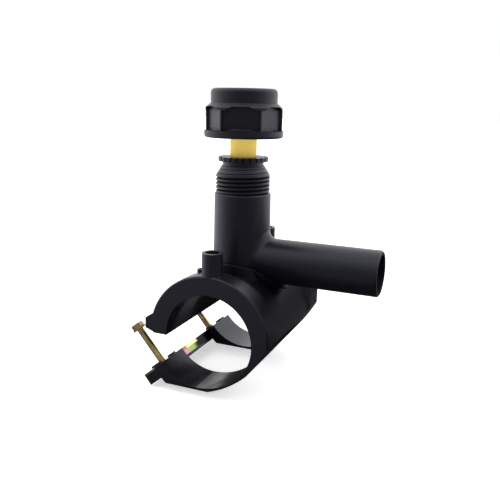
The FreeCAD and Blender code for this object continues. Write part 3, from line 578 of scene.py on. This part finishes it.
# %% Paint the imported parts
FINISHES = {
    "saddle_body": body_polyethylene, "cap": cap_polyethylene, "cap_seal": seal_rubber,
    "cutter": cutter_brass, "fusion_coil": coil_copper, "clamp_channel": channel_zinc_and_painted_light,
}
for end in ("front", "rear"):
    FINISHES[f"terminal_pin_{end}"] = pin_brass
    FINISHES[f"indicator_pin_{end}"] = body_polyethylene
    for part in ("bolt", "washer", "nut"):
        FINISHES[f"{part}_{end}"] = zinc
for name, finish in FINISHES.items():
    nodes[name].data.materials.clear()
    nodes[name].data.materials.append(finish)
print("painted:", len(FINISHES))

# %% Find the saddle's shadowed floors and its bore
# room for the middle of a face, in millimetres: radius from and to, height from and to
GROOVE_ROOM = (17.1, 18.25, 93.9, 107.1)
NOTCH_ROOM = (14.7, 17.6, 116.6, 119.4)
# a face whose normal points up or down by more than this lies flat
FLAT = 0.9
# distance from the pipe's axis, in millimetres, and how squarely a face of the bore looks towards it
BORE_ROOM = (31.5, 48)
TOWARDS_AXIS = -0.85


def shadowed(middle, normal):
    """Whether a face is the floor of a groove of the thread or of a notch in the collar, given painted
    shade.
    """
    return abs(normal.z) < FLAT and any(
        nearest * MM < middle.xy.length < farthest * MM and bottom * MM < middle.z < top * MM
        for nearest, farthest, bottom, top in (GROOVE_ROOM, NOTCH_ROOM))


def in_bore(middle, normal):
    """Whether a face belongs to the bore or to the strap's inner side."""
    from_axis = math.hypot(middle.x, middle.z)
    inwards = (normal.x * middle.x + normal.z * middle.z) / from_axis
    return BORE_ROOM[0] * MM < from_axis < BORE_ROOM[1] * MM and inwards < TOWARDS_AXIS


saddle = nodes["saddle_body"]
# the first paints shade on the floors of the grooves and notches, the second is the bore's real gloss
special_finishes = ((groove_painted_shade, shadowed), (bore_polyethylene, in_bore))
for number, (finish, belongs) in enumerate(special_finishes, start=1):
    saddle.data.materials.append(finish)
    found = [face for face in saddle.data.polygons
             if belongs(saddle.matrix_world @ face.center, face.normal)]
    for face in found:
        face.material_index = number
    print(finish.name, "on", len(found), "faces")

# %% [markdown]
# ## The cap's recesses
#
# The cap is turned by hand or by a spanner on six flat recesses. In the middle of each one the floor runs
# on up into the sloping shoulder, with a slanted corner on both sides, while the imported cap's recesses end
# level. The shoulder could be pushed in face by face, but a cutting block leaves clean corners: one block
# with slanted ends is made for each recess, and a Boolean takes all six out of a copy of the cap. The
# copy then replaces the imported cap.

# %% Six cutting blocks
RECESSES = 6
# how far the cap stands turned about its axis
CAP_TURN = math.radians(48.2)
# distances from the cap's axis, in millimetres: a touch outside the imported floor, and clear of the cap
RECESS_FLOOR = 21.63
RECESS_OUT = 30.0
# the height of a block's foot and of its top, and half its width there
CUT_FOOT = 150.6
CUT_TOP = 153.9
CUT_FOOT_HALF = 12.4
CUT_TOP_HALF = 5.8


def only_select(*pieces):
    """Select these pieces, with the last one active."""
    bpy.ops.object.select_all(action="DESELECT")
    for piece in pieces:
        piece.select_set(True)
    bpy.context.view_layer.objects.active = pieces[-1]


def select_points(piece, wanted):
    """Go into edit mode with those points selected whose place passes a test."""
    only_select(piece)
    bpy.ops.object.mode_set(mode="EDIT")
    bpy.ops.mesh.select_all(action="DESELECT")
    bpy.ops.object.mode_set(mode="OBJECT")
    for point in piece.data.vertices:
        point.select = wanted(point.co)
    bpy.ops.object.mode_set(mode="EDIT")


blocks = []
for number in range(RECESSES):
    bpy.ops.mesh.primitive_cube_add(size=1)
    block = bpy.context.object
    block.scale = ((RECESS_OUT - RECESS_FLOOR) * MM, 2 * CUT_FOOT_HALF * MM, (CUT_TOP - CUT_FOOT) * MM)
    block.location = ((RECESS_OUT + RECESS_FLOOR) / 2 * MM, 0, (CUT_TOP + CUT_FOOT) / 2 * MM)
    bpy.ops.object.transform_apply(location=True, rotation=True, scale=True)
    select_points(block, lambda place: place.z > (CUT_FOOT + CUT_TOP) / 2 * MM)
    bpy.ops.transform.resize(value=(1, CUT_TOP_HALF / CUT_FOOT_HALF, 1))
    bpy.ops.object.mode_set(mode="OBJECT")
    block.rotation_euler = (0, 0, CAP_TURN + math.tau * number / RECESSES)
    blocks.append(block)
only_select(*blocks)
bpy.ops.object.join()
cutting = bpy.context.object
only_select(cutting)
bpy.ops.object.transform_apply(location=True, rotation=True, scale=True)
print("cutting blocks:", RECESSES)

# %% Cut the recesses up to the shoulder
# points closer together than this, in millimetres, are one point
SAME_POINT = 0.002
# faces that meet at more than this stay sharp
RIDGE_ANGLE = math.radians(14)


def apply_modifier(piece, kind, **settings):
    """Give a piece a modifier with its settings, and apply it."""
    only_select(piece)
    modifier = piece.modifiers.new(kind.lower(), kind)
    for name, value in settings.items():
        setattr(modifier, name, value)
    bpy.ops.object.modifier_apply(modifier=modifier.name)


def close_mesh(piece, drop_slivers=False):
    """Merge the points that lie together and turn the faces outwards."""
    only_select(piece)
    bpy.ops.object.mode_set(mode="EDIT")
    bpy.ops.mesh.select_all(action="SELECT")
    bpy.ops.mesh.remove_doubles(threshold=SAME_POINT * MM)
    if drop_slivers:
        bpy.ops.mesh.dissolve_degenerate(threshold=SAME_POINT * MM)
    bpy.ops.mesh.normals_make_consistent(inside=False)
    bpy.ops.object.mode_set(mode="OBJECT")


cut_cap = nodes["cap"].copy()
cut_cap.data = nodes["cap"].data.copy()
cut_cap.name = "cut_cap"
bpy.context.collection.objects.link(cut_cap)
# the copy is a piece of its own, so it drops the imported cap's marks
for key in [key for key in cut_cap.keys() if key.startswith("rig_")]:
    del cut_cap[key]
only_select(cut_cap)
bpy.ops.object.parent_clear(type="CLEAR_KEEP_TRANSFORM")
bpy.ops.object.transform_apply(location=True, rotation=True, scale=True)
close_mesh(cut_cap)
apply_modifier(cut_cap, "BOOLEAN", operation="DIFFERENCE", object=cutting)
only_select(cutting)
bpy.ops.object.delete()
only_select(cut_cap)
bpy.ops.object.shade_smooth_by_angle(angle=RIDGE_ANGLE)
apply_modifier(cut_cap, "WEIGHTED_NORMAL", keep_sharp=True)
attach(cut_cap, "cap")
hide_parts("cap")
print("cap cut:", len(cut_cap.data.polygons), "faces")

# %% [markdown]
# ## Screw threads
#
# A thread is one ridge wound round a cylinder. It could be faked by a bump in the finish, but then the
# outline would stay smooth. So it is wound here: its section is a small four-sided outline beside the
# axis, made from a plane without its face. The Screw modifier carries it round and up, and the two open
# ends are filled.


# %% Wind a thread
THREAD_ANGLE = math.radians(35)


def wound_thread(name, root, crest, pitch, turns, foot_width, crest_width, steps):
    """A ridge along the upward axis, from zero up. The section's lengths are in millimetres."""
    bpy.ops.object.select_all(action="DESELECT")
    bpy.ops.mesh.primitive_plane_add(size=1)
    thread = bpy.context.object
    thread.name = name
    thread.rotation_euler = (math.radians(90), 0, 0)
    thread.scale = ((crest - root) * MM, foot_width * MM, 1)
    thread.location = ((root + crest) / 2 * MM, 0, foot_width / 2 * MM)
    bpy.ops.object.transform_apply(location=True, rotation=True, scale=True)
    bpy.ops.object.mode_set(mode="EDIT")
    bpy.ops.mesh.select_all(action="SELECT")
    bpy.ops.mesh.delete(type="ONLY_FACE")
    bpy.ops.object.mode_set(mode="OBJECT")
    select_points(thread, lambda place: place.x > (root + crest) / 2 * MM)
    bpy.ops.transform.resize(value=(1, 1, crest_width / foot_width))
    bpy.ops.object.mode_set(mode="OBJECT")
    apply_modifier(thread, "SCREW", screw_offset=pitch * MM, iterations=turns, steps=steps,
                   render_steps=steps, use_merge_vertices=False)
    bpy.ops.object.mode_set(mode="EDIT")
    bpy.ops.mesh.select_all(action="SELECT")
    bpy.ops.mesh.fill_holes(sides=4)
    bpy.ops.mesh.select_all(action="SELECT")
    bpy.ops.mesh.normals_make_consistent(inside=False)
    bpy.ops.object.mode_set(mode="OBJECT")
    bpy.ops.object.shade_smooth_by_angle(angle=THREAD_ANGLE)
    return thread


def move_into_place(thread, place, tilt=0.0, spin=0.0):
    """Spin a thread about its axis, tilt it with the clamp and put its foot at a place in millimetres."""
    thread.matrix_world = (Matrix.Translation(Vector(place) * MM) @ Matrix.Rotation(tilt, 4, "Y")
                           @ Matrix.Rotation(spin, 4, "Z"))
    only_select(thread)
    bpy.ops.object.transform_apply(location=True, rotation=True, scale=True)


print("a thread's faces are smooth below", round(math.degrees(THREAD_ANGLE)), "degrees")

# %% [markdown]
# ## The thread on the stack
#
# The cap screws down on this thread. Its last turns run over the lead-in cone below the collar, where
# their crests sink away so that the cap finds its start. The section could shrink turn by turn, but it is
# simpler to do as a lathe would: deeper turns are wound on top of the full ones, and a Boolean keeps only
# what lies inside a cone.

# %% Wind the full turns
STACK_THREAD = {"root": 18.1, "crest": 19.3, "pitch": 2.8, "turns": 4, "foot_width": 2.0,
                "crest_width": 1.5, "steps": 72}
# the height of the thread's foot, in millimetres, and where it starts round the stack
STACK_THREAD_START = 93.6
STACK_THREAD_SPIN = math.radians(150)

stack_thread = wound_thread("stack_thread", **STACK_THREAD)
move_into_place(stack_thread, (0, 0, STACK_THREAD_START), spin=STACK_THREAD_SPIN)
wound_height = STACK_THREAD["pitch"] * STACK_THREAD["turns"]
print("full turns up to", round(STACK_THREAD_START + wound_height, 1), "mm")

# %% Wind the last turns and trim them with a cone
LEAD_THREAD = {"root": 14.45, "crest": 19.3, "pitch": 2.8, "turns": 3, "foot_width": 2.75,
               "crest_width": 2.35, "steps": 72}
# the trimming cone's radius and height, at its foot and at its top
LEAD_CONE_FOOT = (25.4, 97.0)
LEAD_CONE_TOP = (15.2, 113.4)
CONE_SIDES = 144

lead_thread = wound_thread("lead_thread", **LEAD_THREAD)
move_into_place(lead_thread, (0, 0, STACK_THREAD_START + wound_height), spin=STACK_THREAD_SPIN)
(foot_radius, foot_height), (top_radius, top_height) = LEAD_CONE_FOOT, LEAD_CONE_TOP
bpy.ops.mesh.primitive_cone_add(vertices=CONE_SIDES, radius1=foot_radius * MM, radius2=top_radius * MM,
                                depth=(top_height - foot_height) * MM,
                                location=(0, 0, (foot_height + top_height) / 2 * MM))
lead_cone = bpy.context.object
apply_modifier(lead_thread, "BOOLEAN", operation="INTERSECT", object=lead_cone)
close_mesh(lead_thread, drop_slivers=True)
bpy.ops.object.shade_smooth_by_angle(angle=THREAD_ANGLE)
only_select(lead_cone)
bpy.ops.object.delete()
for thread in (stack_thread, lead_thread):
    thread.data.materials.clear()
    thread.data.materials.append(body_polyethylene)
    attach(thread, "saddle")
print("lead-in thread:", len(lead_thread.data.polygons), "faces")

# %% [markdown]
# ## The threads on the clamp bolts
#
# The two M5 bolts draw the strap up. Their thread is fine, and shows as a broken glint along the shank.
# A bump would do for the glint alone, but against the light floor the thread's outline can be seen too.
# So it is the same kind of ridge, wound along the upward axis, tilted with the clamp and carried by its
# bolt.

# %% Wind the bolts' threads
BOLT_THREAD = {"root": 2.3, "crest": 2.5, "pitch": 0.8, "turns": 27, "foot_width": 0.62,
               "crest_width": 0.2, "steps": 24}
# from the clamp's centre, in millimetres: the bolt's axis across the clamp, the foot of its thread along
# the shank, and the bolt's place along the pipe
BOLT_INWARD = 1.5
BOLT_THREAD_FOOT = -4.0
BOLT_ALONG = 38.5

for end, way in (("front", -1), ("rear", 1)):
    middle = Vector((CLAMP_CENTRE[0], way * BOLT_ALONG, CLAMP_CENTRE[1]))
    foot = middle + CLAMP_ACROSS * BOLT_INWARD + CLAMP_UP * BOLT_THREAD_FOOT
    bolt_thread = wound_thread(f"bolt_thread_{end}", **BOLT_THREAD)
    move_into_place(bolt_thread, foot, tilt=CLAMP_TILT - math.radians(90))
    bolt_thread.data.materials.append(zinc)
    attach(bolt_thread, f"bolt_{end}")
    print(bolt_thread.name, len(bolt_thread.data.polygons), "faces")

# %% [markdown]
# ## Sizes
#
# The box round the imported model is taken right after loading. It and the box round the dressed one are
# equal when nothing was scaled and nothing that was added reaches past the real part.

# %% Sizes
print("the scene is dressed")
